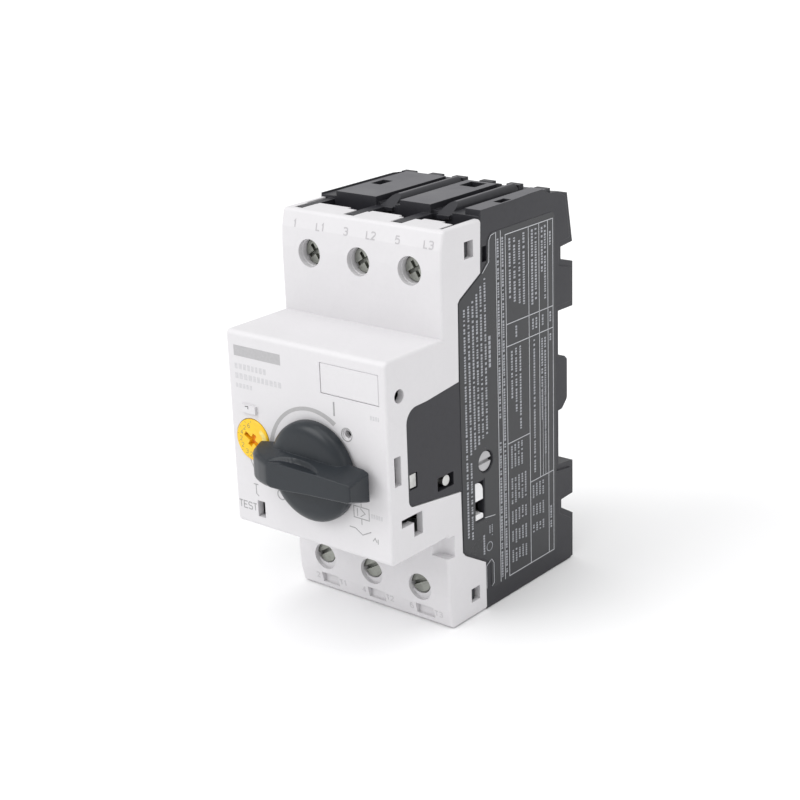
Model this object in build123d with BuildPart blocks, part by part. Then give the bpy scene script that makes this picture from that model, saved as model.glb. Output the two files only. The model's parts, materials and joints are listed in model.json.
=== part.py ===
from build123d import *
import math
import os

os.makedirs("parts", exist_ok=True)

# ---------------------------------------------------------------------------
# Motor protection breaker, three poles, for a 35 mm rail.
# Millimetres. +Z up, the operating face looks along -Y, the rail side is +Y.
# The origin is at the middle of the underside.
# ---------------------------------------------------------------------------

# driving dimensions
WIDTH = 45.0
HALF = WIDTH / 2
Y_REAR = 38.0            # rear feet, which face the mounting plate
Y_GRIP = -38.0           # front of the handle's grip
Y_BUMP = -30.1           # front of the raised centre of the cover
Y_TERM = -11.2           # front of the two terminal steps
Z_BUMP_LO = 22.5
Z_BUMP_HI = 67.5
COVER_TOP = 90.4
PAD_TOP = 92.3
TOP = 92.5
WALL = 1.6
SKIN = 0.38              # side skin of the base
LABEL_T = 0.08           # printed film, set 0.04 below the cover's flank

POLE_PITCH = 14.1
POLES = (-POLE_PITCH, 0.0, POLE_PITCH)
PHASE_HALF = 0.7         # half thickness of the walls between the poles

Z_SCREW_TOP = 81.2
Z_SCREW_LOW = 8.5
R_ACCESS = 3.15
SCREW_TRAVEL = 5.6       # eight turns of a 0.7 mm pitch
LOW_DX, LOW_DZ = -0.7, 0.9   # lower screws against their access holes
R_HEAD = 2.9

KNOB_X, KNOB_Z = 2.6, 40.4
KNOB_R = 11.25
DIAL_X, DIAL_Z = -16.1, 43.1
DIAL_R = 4.8

RAIL_FLOOR = 32.1
RAIL_LO, RAIL_HI = 25.6, 63.1

TRIP_Y, TRIP_Z = 3.0, 35.8   # axis of the trip shaft
CARRIER_TRAVEL = 3.0


def box(x0, x1, y0, y1, z0, z1, mode=Mode.ADD):
    with Locations(((x0 + x1) / 2, (y0 + y1) / 2, (z0 + z1) / 2)):
        Box(abs(x1 - x0), abs(y1 - y0), abs(z1 - z0), mode=mode)


def rod_y(x, z, y0, y1, r, mode=Mode.ADD):
    with Locations(Location((x, (y0 + y1) / 2, z), (90, 0, 0))):
        Cylinder(r, abs(y1 - y0), mode=mode)


def rod_x(y, z, x0, x1, r, mode=Mode.ADD):
    with Locations(Location(((x0 + x1) / 2, y, z), (0, 90, 0))):
        Cylinder(r, abs(x1 - x0), mode=mode)


def rod_z(x, y, z0, z1, r, mode=Mode.ADD):
    with Locations((x, y, (z0 + z1) / 2)):
        Cylinder(r, abs(z1 - z0), mode=mode)


def near(items, points, tol=0.05):
    """The vertices that lie at the given local points of a sketch."""
    out = []
    for v in items:
        for p in points:
            if abs(v.X - p[0]) < tol and abs(v.Y - p[1]) < tol:
                out.append(v)
    return out


def save(piece, name):
    piece.part.label = name
    export_step(piece.part, f"parts/{name}.step")


# ---------------------------------------------------------------------------
# Cover: light grey shell with the raised centre and the two terminal steps.
# ---------------------------------------------------------------------------
COVER_OUT = [
    (2.6, COVER_TOP), (-9.9, COVER_TOP), (-10.9, 86.5), (Y_TERM, 82.0), (Y_TERM, Z_BUMP_HI),
    (Y_BUMP, Z_BUMP_HI), (Y_BUMP, Z_BUMP_LO), (Y_TERM, Z_BUMP_LO), (Y_TERM, 8.0),
    (-10.9, 4.0), (-10.0, 0.0), (2.4, 0.0), (2.3, 11.7), (-5.0, 15.9), (-6.05, 17.05),
    (-6.2, 31.65), (-24.0, 33.95), (-24.0, 55.65), (-17.0, 55.8), (-6.1, 56.9),
    (-5.8, 74.0), (-5.2, 74.8), (2.2, 78.9),
]
COVER_IN = [
    (12.0, COVER_TOP - WALL), (-8.6, COVER_TOP - WALL), (-9.6, 82.0), (-9.6, Z_BUMP_HI - WALL),
    (Y_BUMP + 1.7, Z_BUMP_HI - WALL), (Y_BUMP + 1.7, Z_BUMP_LO + WALL), (-9.6, Z_BUMP_LO + WALL),
    (-9.6, 8.0), (-8.7, WALL), (12.0, WALL),
]

with BuildPart() as front_cover:
    with BuildSketch(Plane.YZ.offset(-HALF)) as cover_profile:
        with BuildLine():
            Polyline(*COVER_OUT, close=True)
        make_face()
        fillet(near(cover_profile.vertices(), [(Y_BUMP, Z_BUMP_HI), (Y_BUMP, Z_BUMP_LO)]), 1.1)
        fillet(near(cover_profile.vertices(), [(-9.9, COVER_TOP), (-10.0, 0.0)]), 0.9)
        fillet(near(cover_profile.vertices(), [(-24.0, 55.65)]), 3.4)
        fillet(near(cover_profile.vertices(), [(-24.0, 33.95)]), 1.8)
    extrude(amount=WIDTH)
    # soft edges down both sides of the front
    side_edges = [
        e for e in front_cover.edges()
        if abs(abs(e.center().X) - HALF) < 1e-3
        and (
            e.center().Y < -24.5
            or (e.center().Y < -9.0 and (e.center().Z > 57.5 or e.center().Z < 30.0))
        )
    ]
    fillet(side_edges, 0.75)
    with BuildSketch(Plane.YZ.offset(-HALF + WALL)) as cover_hollow:
        with BuildLine():
            Polyline(*COVER_IN, close=True)
        make_face()
    extrude(amount=WIDTH - 2 * WALL, mode=Mode.SUBTRACT)
    # screw access holes, each with a guide behind it for the screw's head
    for x in POLES:
        rod_y(x, Z_SCREW_TOP, -9.8, -8.0, 4.7)
        rod_y(x + LOW_DX, Z_SCREW_LOW + LOW_DZ, -9.8, -8.0, 4.7)
    for x in POLES:
        rod_y(x, Z_SCREW_TOP, -14.0, -9.9, R_ACCESS, mode=Mode.SUBTRACT)
        rod_y(x, Z_SCREW_LOW, -14.0, -10.0, R_ACCESS, mode=Mode.SUBTRACT)
        rod_y(x, Z_SCREW_TOP, -10.0, -7.0, R_HEAD + 0.1, mode=Mode.SUBTRACT)
        rod_y(x + LOW_DX, Z_SCREW_LOW + LOW_DZ, -10.1, -7.0, R_HEAD + 0.1, mode=Mode.SUBTRACT)
    # pockets in the corners where the raised centre meets the lower step
    for s in (-1, 1):
        box(s * 15.6, s * 20.95, -9.7, -6.6, 15.4, 24.2)
        with BuildSketch(Plane.XY.offset(17.3)) as pocket_plan:
            with BuildLine():
                Polyline((s * 23.5, -12.0), (s * 17.6, -12.0), (s * 18.6, -9.2), (s * 23.5, -8.9), close=True)
            make_face()
            fillet(near(pocket_plan.vertices(), [(s * 18.6, -9.2)]), 1.2)
        extrude(amount=5.0, mode=Mode.SUBTRACT)
    # shallow test-probe recesses under the lower holes
    for x in POLES:
        box(x - 1.6, x + 3.4, -13.0, -9.55, 1.5, 4.1, mode=Mode.SUBTRACT)
    # handle shaft, setting dial, test slot, seal hole
    rod_y(KNOB_X, KNOB_Z, -31.0, -28.0, 4.0, mode=Mode.SUBTRACT)
    rod_y(DIAL_X, DIAL_Z, -31.0, -28.0, DIAL_R + 0.15, mode=Mode.SUBTRACT)
    box(-16.0, -13.8, -31.0, -28.0, 25.0, 28.8, mode=Mode.SUBTRACT)
    rod_y(11.4, 50.0, -31.0, -28.0, 0.85, mode=Mode.SUBTRACT)
    rod_y(11.4, 50.0, -30.4, -29.7, 1.25, mode=Mode.SUBTRACT)
    # seat and socket for the accessory lid
    box(4.6, 20.6, -31.0, -29.05, 57.9, 64.7, mode=Mode.SUBTRACT)
    box(6.0, 19.2, -31.0, -28.0, 59.1, 63.5, mode=Mode.SUBTRACT)
    # pointer over the dial
    box(-18.6, -14.4, -30.75, -29.9, 49.3, 51.1)
    # windows in both flanks
    rod_x(-26.0, 59.4, -23.0, 23.0, 1.5, mode=Mode.SUBTRACT)
    box(-23.0, 23.0, -28.3, -26.2, 40.0, 46.5, mode=Mode.SUBTRACT)
    box(-23.0, 23.0, -26.6, -19.7, 30.2, 32.0, mode=Mode.SUBTRACT)
    box(-23.0, 23.0, -22.6, -19.7, 26.9, 30.3, mode=Mode.SUBTRACT)
    for z0, z1 in ((83.0, 86.7), (3.7, 7.0)):
        box(-23.0, -20.0, -3.2, -0.1, z0, z1, mode=Mode.SUBTRACT)
        box(20.0, 23.0, -3.2, -0.1, z0, z1, mode=Mode.SUBTRACT)
    # stepped rear edge of the top, with slots for the phase ribs
    for z0, z1 in ((88.0, 91.0), (-1.0, 2.0)):
        box(-20.9, 20.9, -2.8, 12.5, z0, z1, mode=Mode.SUBTRACT)
        for x0, x1 in ((-20.9, -17.8), (-8.7, -2.5), (5.7, 11.9), (17.4, 20.9)):
            box(x0, x1, -3.9, 12.5, z0, z1, mode=Mode.SUBTRACT)
        for x0, x1 in ((-20.3, -17.9), (-6.1, -3.1), (7.1, 10.3), (20.15, 20.9)):
            box(x0, x1, -8.5, 12.5, z0, z1, mode=Mode.SUBTRACT)
save(front_cover, "front_cover")

# ---------------------------------------------------------------------------
# Base: black moulding with pole chambers, rail recess and top pads.
# ---------------------------------------------------------------------------
BASE_OUT = [
    (2.75, 90.9), (2.72, 90.1), (2.36, 78.83), (-5.1, 74.66), (-5.67, 73.9), (-5.97, 56.75),
    (-16.98, 55.66), (-23.87, 55.51), (-23.87, 34.09), (-6.05, 31.79), (-5.92, 17.12),
    (-4.94, 16.04), (2.42, 11.79), (2.52, 0.0), (Y_REAR, 0.0), (Y_REAR, 11.2), (33.2, 14.1),
    (33.2, 16.2), (Y_REAR, 16.4), (Y_REAR, 24.8), (RAIL_FLOOR, RAIL_LO), (RAIL_FLOOR, RAIL_HI),
    (Y_REAR, 63.0), (Y_REAR, 73.6), (33.2, 74.9), (33.2, 77.9), (37.9, 78.25), (35.8, 89.9),
    (32.3, 90.6), (28.0, 90.9),
]
SKIN_OUT = [
    (2.95, 91.7), (2.72, 90.1), (2.36, 78.83), (-5.1, 74.66), (-5.67, 73.9), (-5.97, 56.75),
    (-16.98, 55.66), (-23.87, 55.51), (-23.87, 34.09), (-6.05, 31.79), (-5.92, 17.12),
    (-4.94, 16.04), (2.42, 11.79), (2.52, 0.0), (36.6, 0.0), (36.6, 10.4), (31.8, 13.3),
    (31.8, 17.6), (36.6, 17.8), (36.6, 23.5), (30.7, 24.3), (30.7, 64.5), (36.6, 64.4),
    (36.6, 72.5), (31.8, 73.8), (31.8, 79.2), (36.3, 79.5), (34.6, 89.3), (32.0, 90.8),
    (28.4, 91.2), (26.1, 92.1), (25.7, 92.5), (21.0, 92.5), (10.0, 92.1),
]

with BuildPart() as base_housing:
    with BuildSketch(Plane.YZ.offset(-22.0)) as base_profile:
        with BuildLine():
            Polyline(*BASE_OUT, close=True)
        make_face()
        fillet(near(base_profile.vertices(), [(-23.87, 55.51)]), 3.3)
        fillet(near(base_profile.vertices(), [(-23.87, 34.09)]), 1.7)
    extrude(amount=44.0)
    for x in (-22.0 - SKIN, 22.0):
        with BuildSketch(Plane.YZ.offset(x)) as skin_profile:
            with BuildLine():
                Polyline(*SKIN_OUT, close=True)
            make_face()
            fillet(near(skin_profile.vertices(), [(-23.87, 55.51)]), 3.3)
            fillet(near(skin_profile.vertices(), [(-23.87, 34.09)]), 1.7)
        extrude(amount=SKIN)
    # room for the mechanism behind the raised centre
    box(-20.8, 20.8, -25.0, -6.3, 20.0, 70.0, mode=Mode.SUBTRACT)
    # three pole chambers
    for x in POLES:
        x0 = -20.6 if x < 0 else x - POLE_PITCH / 2 + PHASE_HALF
        x1 = 20.6 if x > 0 else x + POLE_PITCH / 2 - PHASE_HALF
        box(x0, x1, -7.0, 29.8, 18.0, 72.0, mode=Mode.SUBTRACT)
        box(x0, x1, -7.0, 29.8, 2.2, 19.0, mode=Mode.SUBTRACT)
        box(x0, x1, -7.0, 29.8, 71.0, 86.6, mode=Mode.SUBTRACT)
    # bevel along the top rear, between the raised blocks
    for x0, x1 in ((-19.0, -12.0), (-8.5, -1.5), (4.0, 10.5), (14.0, 19.0)):
        box(x0, x1, 28.3, 38.5, 89.6, 91.5, mode=Mode.SUBTRACT)
    # wire entries at the top and underneath
    for x0, x1 in ((-17.9, -7.9), (-3.1, 6.25), (10.2, 20.3)):
        box(x0, x1, -8.0, 2.0, 86.0, 92.0, mode=Mode.SUBTRACT)
        box(x0, x1, -8.0, 2.6, -0.5, 3.0, mode=Mode.SUBTRACT)
    # raised pads on top with latch pockets, and the rounded ribs between them
    box(-17.1, -5.5, 2.0, 27.0, 90.0, PAD_TOP)
    box(1.3, 9.7, 2.0, 26.3, 90.0, PAD_TOP)
    box(18.3, 22.38, 2.95, 27.0, 90.0, PAD_TOP)
    box(-17.7, -5.5, 2.0, 26.8, 88.0, 91.2)
    box(0.7, 9.7, 2.0, 26.8, 88.0, 91.2)
    box(-15.7, -12.8, 12.2, 16.8, 88.8, 93.5, mode=Mode.SUBTRACT)
    box(3.2, 7.6, 20.6, 25.2, 88.8, 93.5, mode=Mode.SUBTRACT)
    box(19.8, 21.9, 10.8, 14.7, 88.8, 93.5, mode=Mode.SUBTRACT)
    for x in (-2.7, 13.0):
        box(x - 1.6, x + 1.6, 2.0, 27.5, 89.5, 91.0)
        rod_y(x, TOP - 1.6, 2.0, 27.5, 1.6)
        # their front ends run down to the phase ribs
        with BuildSketch(Plane.YZ.offset(x - 2.0)) as rib_end:
            with BuildLine():
                Polyline((1.0, 90.3), (2.4, 90.3), (7.4, 92.95), (7.4, 93.5), (1.0, 93.5), close=True)
            make_face()
        extrude(amount=4.0, mode=Mode.SUBTRACT)
    # the left skin stays lower than the right one
    box(-23.0, -21.9, 2.0, 29.0, 91.2, 93.5, mode=Mode.SUBTRACT)
    # low blocks along the rear of the top
    for x, z in ((-17.6, 92.0), (-9.6, 92.1), (-2.7, 92.2), (5.2, 92.1), (12.8, 92.2), (20.0, 92.0)):
        box(x - 1.7, x + 1.7, 27.8, 29.6, 89.0, z)
    # phase ribs that run forward over the cover's top and bottom
    for x0, x1 in ((-20.1, -18.1), (-5.9, -3.3), (7.3, 10.1), (20.35, 20.75)):
        box(x0, x1, -7.6, 4.0, 87.2, 90.3)
        box(x0, x1, -8.2, 4.0, 0.25, 3.4)
    for s in (-1, 1):
        box(s * 20.3, s * 20.8, -3.5, 5.0, 80.5, 88.3)
        box(s * 20.3, s * 20.8, -3.5, 5.0, 2.6, 9.5)
        # snap noses in the windows of the cover
        box(s * 20.7, s * 21.7, -3.0, -1.2, 83.2, 86.5)
        box(s * 20.7, s * 21.7, -3.0, -1.2, 3.9, 6.8)
    # rounded beam across the rail recess, and the fixed rail hooks
    with BuildSketch(Plane.YZ.offset(-22.0)) as beam_profile:
        with BuildLine():
            Polyline((RAIL_FLOOR - 0.5, 39.0), (33.6, 39.0), (35.7, 41.1), (35.7, 50.7),
                     (34.7, 51.7), (RAIL_FLOOR - 0.5, 51.7), close=True)
        make_face()
        fillet(near(beam_profile.vertices(), [(33.6, 39.0), (35.7, 41.1)]), 1.2)
        fillet(near(beam_profile.vertices(), [(35.7, 50.7), (34.7, 51.7)]), 0.5)
    extrude(amount=44.0)
    box(-17.0, -9.0, 33.4, 35.4, 61.2, 63.4)
    box(9.0, 17.0, 33.4, 35.4, 61.2, 63.4)
    # guide for the rail latch and its spring, open to the rear
    box(-8.0, 8.0, 33.2, 39.0, 4.6, 26.5, mode=Mode.SUBTRACT)
    # hollows moulded into the upper and lower feet
    for x0, x1 in ((-19.5, -10.5), (10.5, 19.5)):
        box(x0, x1, 34.5, 39.0, 2.4, 9.6, mode=Mode.SUBTRACT)
    for x0, x1 in ((-19.5, -7.5), (-5.5, 5.5), (7.5, 19.5)):
        box(x0, x1, 35.7, 39.0, 65.2, 71.6, mode=Mode.SUBTRACT)
    # openings in the right flank for the accessory couplings
    rod_x(TRIP_Y, TRIP_Z, 20.0, 23.0, 2.55, mode=Mode.SUBTRACT)
    box(20.0, 23.0, -1.0, 2.2, 22.5, 31.7, mode=Mode.SUBTRACT)
    box(20.0, 23.0, -23.4, -20.8, 37.7, 41.3, mode=Mode.SUBTRACT)
    box(20.0, 23.0, -14.1, -8.5, 34.2, 37.3, mode=Mode.SUBTRACT)
    box(21.4, 23.0, 3.0, 4.7, 81.0, 84.4, mode=Mode.SUBTRACT)
    # slots through the phase walls for the carrier and the trip bar
    for x in (-POLE_PITCH / 2, POLE_PITCH / 2):
        box(x - 1.2, x + 1.2, 4.6, 14.0, 41.2, 51.4, mode=Mode.SUBTRACT)
        box(x - 1.2, x + 1.2, -6.5, 7.5, 26.0, 43.0, mode=Mode.SUBTRACT)
    # left bearing of the trip shaft
    rod_x(TRIP_Y, TRIP_Z, -21.4, -20.0, 1.45, mode=Mode.SUBTRACT)
save(base_housing, "base_housing")

# ---------------------------------------------------------------------------
# Printed film on the right flank.
# ---------------------------------------------------------------------------
LABEL = [
    (9.6, 86.8), (30.1, 86.8), (30.2, 4.4), (4.4, 4.4), (4.4, 10.8), (2.5, 12.35), (-4.85, 16.6),
    (-5.55, 17.3), (-5.62, 56.7), (-5.4, 73.8), (-4.9, 74.45), (2.55, 78.5), (4.7, 80.7),
    (5.1, 86.8),
]
with BuildPart() as side_label:
    with BuildSketch(Plane.YZ.offset(HALF - 0.12)) as label_profile:
        with BuildLine():
            Polyline(*LABEL, close=True)
        make_face()
        fillet(near(label_profile.vertices(), [(5.1, 86.8)]), 2.4)
        fillet(near(label_profile.vertices(), [(30.1, 86.8), (30.2, 4.4), (4.4, 4.4)]), 1.2)
    extrude(amount=LABEL_T)
    rod_x(TRIP_Y, TRIP_Z, 22.0, 23.0, 2.75, mode=Mode.SUBTRACT)
    box(22.0, 23.0, -1.3, 2.5, 22.2, 32.0, mode=Mode.SUBTRACT)
save(side_label, "side_label")

# ---------------------------------------------------------------------------
# Lid over the accessory socket.
# ---------------------------------------------------------------------------
with BuildPart() as accessory_lid:
    box(4.66, 20.54, -30.1, -29.1, 57.96, 64.64)
    chamfer(accessory_lid.faces().sort_by(Axis.Y)[0].edges(), 0.2)
    box(6.4, 7.4, -29.2, -27.8, 59.5, 63.1)
    box(17.8, 18.8, -29.2, -27.8, 59.5, 63.1)
save(accessory_lid, "accessory_lid")

# ---------------------------------------------------------------------------
# Rotary handle: disc with a rolled shoulder, and the wedge-shaped grip.
# ---------------------------------------------------------------------------
Y_DISC0 = -30.6          # underside of the disc
Y_DISC1 = -34.1          # flat of the disc
with BuildPart() as rotary_handle:
    with BuildSketch(Plane.XY) as disc_half:
        with BuildLine():
            l1 = Line((0, 0), (KNOB_R, 0))
            l2 = Line(l1 @ 1, (KNOB_R, 0.7))
            l3 = Spline(l2 @ 1, (KNOB_R - 0.9, 2.35), (KNOB_R - 3.4, 3.5), tangents=[(0, 1), (-1, 0)])
            l4 = Line(l3 @ 1, (0, 3.5))
            Line(l4 @ 1, (0, 0))
        make_face()
    revolve(axis=Axis.Y)
    disc_here = rotary_handle.part
with BuildPart() as rotary_handle:
    # disc: the turned profile's +Y becomes the frame's -Y
    with Locations(Location((KNOB_X, Y_DISC0, KNOB_Z), (180, 0, 0))):
        add(disc_here)
    # grip: loft from its broad foot to the narrower front
    with BuildSketch(Plane.XZ.offset(32.3)) as grip_foot:
        with BuildLine():
            Polyline((-13.5, KNOB_Z - 3.6), (-13.3, KNOB_Z + 3.0), (-6.0, KNOB_Z + 5.0), (8.0, KNOB_Z + 4.4),
                     (18.3, KNOB_Z + 3.5), (18.3, KNOB_Z - 3.5), (8.0, KNOB_Z - 4.4), (-6.0, KNOB_Z - 5.0),
                     close=True)
        make_face()
    with BuildSketch(Plane.XZ.offset(34.6)) as grip_middle:
        with BuildLine():
            Polyline((-12.3, KNOB_Z - 3.4), (-12.1, KNOB_Z + 2.6), (-5.0, KNOB_Z + 4.1), (8.0, KNOB_Z + 3.75),
                     (18.3, KNOB_Z + 2.9), (18.3, KNOB_Z - 2.75), (8.0, KNOB_Z - 3.6), (-5.0, KNOB_Z - 4.3),
                     close=True)
        make_face()
    with BuildSketch(Plane.XZ.offset(38.0)) as grip_top:
        with BuildLine():
            Polyline((-5.5, KNOB_Z - 2.9), (-5.4, KNOB_Z + 2.1), (-2.0, KNOB_Z + 2.7), (8.0, KNOB_Z + 2.65),
                     (18.3, KNOB_Z + 2.0), (18.3, KNOB_Z - 1.6), (8.0, KNOB_Z - 2.3), (-2.0, KNOB_Z - 3.1),
                     close=True)
        make_face()
    loft(ruled=True)
    # neck into the disc
    rod_y(KNOB_X, KNOB_Z, -30.7, -28.2, 3.7)
save(rotary_handle, "rotary_handle")

# Shaft of the handle, square where the cam sits on it
with BuildPart() as handle_shaft:
    rod_y(KNOB_X, KNOB_Z, -28.15, -24.0, 3.4)
    box(KNOB_X - 2.3, KNOB_X + 2.3, -24.1, -9.6, KNOB_Z - 2.3, KNOB_Z + 2.3)
save(handle_shaft, "handle_shaft")

with BuildPart() as drive_cam:
    rod_y(KNOB_X, KNOB_Z, -16.0, -11.6, 7.2)
    with BuildSketch(Plane.XZ.offset(16.0)):
        with Locations((KNOB_X - 6.6, KNOB_Z)):
            Circle(2.6)
    extrude(amount=-4.4)
    box(KNOB_X - 2.35, KNOB_X + 2.35, -17.0, -10.0, KNOB_Z - 2.35, KNOB_Z + 2.35, mode=Mode.SUBTRACT)
    rod_y(KNOB_X + 4.8, KNOB_Z, -17.0, -10.0, 0.9, mode=Mode.SUBTRACT)
save(drive_cam, "drive_cam")

# ---------------------------------------------------------------------------
# Setting dial and its cam.
# ---------------------------------------------------------------------------
with BuildPart() as current_dial:
    rod_y(DIAL_X, DIAL_Z, -30.45, -28.55, DIAL_R)
    chamfer(current_dial.edges().filter_by(GeomType.CIRCLE).sort_by(Axis.Y)[0], 0.25)
    rod_y(DIAL_X, DIAL_Z, -28.6, -27.2, 4.3)
    rod_y(DIAL_X, DIAL_Z, -27.3, -24.6, 2.2)
    with Locations(Location((DIAL_X, -30.1, DIAL_Z), (0, 31, 0))):
        Box(5.0, 1.4, 1.1, mode=Mode.SUBTRACT)
        Box(1.1, 1.4, 3.2, mode=Mode.SUBTRACT)
save(current_dial, "current_dial")

with BuildPart() as dial_cam:
    rod_y(DIAL_X + 1.0, DIAL_Z, -24.5, -22.3, 3.6)
    rod_y(DIAL_X, DIAL_Z, -22.4, -21.0, 1.4)
save(dial_cam, "dial_cam")

# ---------------------------------------------------------------------------
# Test slider behind the slot, and the mechanism's plates, lever and spring.
# ---------------------------------------------------------------------------
with BuildPart() as test_slider:
    box(-18.2, -15.15, -28.1, -24.0, 25.3, 28.5)
    box(-19.4, -11.6, -24.1, -22.3, 25.3, 28.5)
save(test_slider, "test_slider")

with BuildPart() as mechanism_frame:
    # two side plates joined by a bridge, with a bearing for the shaft
    box(-11.0, -9.8, -21.0, -7.4, 29.0, 58.0)
    box(16.2, 17.4, -21.0, -7.4, 29.0, 58.0)
    box(-11.0, 17.4, -21.0, -19.6, 29.0, 58.0)
    rod_y(KNOB_X, KNOB_Z, -22.0, -19.0, 3.75, mode=Mode.SUBTRACT)
    box(-7.0, -3.0, -22.0, -19.0, 51.0, 55.5, mode=Mode.SUBTRACT)
    box(8.0, 12.0, -22.0, -19.0, 51.0, 55.5, mode=Mode.SUBTRACT)
    # tab that shows in the right flank's window
    box(17.0, 22.15, -23.1, -21.1, 38.0, 41.0)
    box(16.2, 17.6, -23.1, -20.0, 37.4, 41.6)
save(mechanism_frame, "mechanism_frame")

LEVER_Y, LEVER_Z = -10.6, 35.7
with BuildPart() as latch_lever:
    rod_x(LEVER_Y, LEVER_Z, 17.55, 21.9, 1.2)
    with BuildSketch(Plane.YZ.offset(18.4)) as lever_profile:
        with BuildLine():
            Polyline((LEVER_Y - 2.4, LEVER_Z - 2.0), (LEVER_Y + 2.0, LEVER_Z - 2.0), (LEVER_Y + 2.4, LEVER_Z + 6.0),
                     (LEVER_Y + 1.0, LEVER_Z + 12.0), (LEVER_Y - 1.0, LEVER_Z + 12.0), (LEVER_Y - 1.6, LEVER_Z + 4.0),
                     close=True)
        make_face()
    extrude(amount=1.2)
save(latch_lever, "latch_lever")

with BuildPart() as mechanism_spring:
    with BuildSketch(Plane.XY) as msp:
        with BuildLine():
            pts = [(0.9, 0.0)]
            n = 11
            for i in range(n):
                pts += [(1.9, 0.25 + i * 1.1), (1.9, 0.75 + i * 1.1), (1.45, 0.95 + i * 1.1), (1.45, 1.15 + i * 1.1)]
            pts += [(1.9, 0.25 + n * 1.1), (1.9, 0.75 + n * 1.1), (0.9, 0.75 + n * 1.1)]
            Polyline(*pts, close=True)
        make_face()
    revolve(axis=Axis.Y)
    spring_here = mechanism_spring.part
with BuildPart() as mechanism_spring:
    with Locations(Location((-15.2, -12.4, 49.0), (90, 0, 0))):
        add(spring_here)
save(mechanism_spring, "mechanism_spring")

# ---------------------------------------------------------------------------
# Contact carrier with its three bridges and springs.
# ---------------------------------------------------------------------------
with BuildPart() as contact_carrier:
    box(-18.6, 18.6, 5.4, 9.4, 42.2, 50.4)
    box(-3.4, 5.4, -8.8, 5.5, 43.6, 47.6)
    for x in POLES:
        rod_y(x, 46.3, 9.3, 14.6, 1.5)
        box(x - 3.6, x + 3.6, 9.3, 10.2, 43.6, 49.0)
save(contact_carrier, "contact_carrier")

for i, x in enumerate(POLES):
    with BuildPart() as contact_bridge:
        box(x - 2.4, x + 2.4, 12.4, 13.5, 35.6, 58.4)
        rod_y(x, 46.3, 12.0, 14.0, 1.56, mode=Mode.SUBTRACT)
        rod_y(x, 37.0, 13.4, 14.35, 1.7)
        rod_y(x, 57.0, 13.4, 14.35, 1.7)
    save(contact_bridge, f"contact_bridge_{i + 1}")

with BuildPart() as contact_springs:
    for x in POLES:
        with Locations(Location((x, 11.3, 46.3), (90, 0, 0))):
            Cylinder(2.3, 2.15)
            Cylinder(1.56, 3.0, mode=Mode.SUBTRACT)
        for y in (10.65, 11.3, 11.95):
            with Locations(Location((x, y, 46.3), (90, 0, 0))):
                Cylinder(2.6, 0.3)
                Cylinder(1.56, 0.5, mode=Mode.SUBTRACT)
save(contact_springs, "contact_springs")

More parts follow.
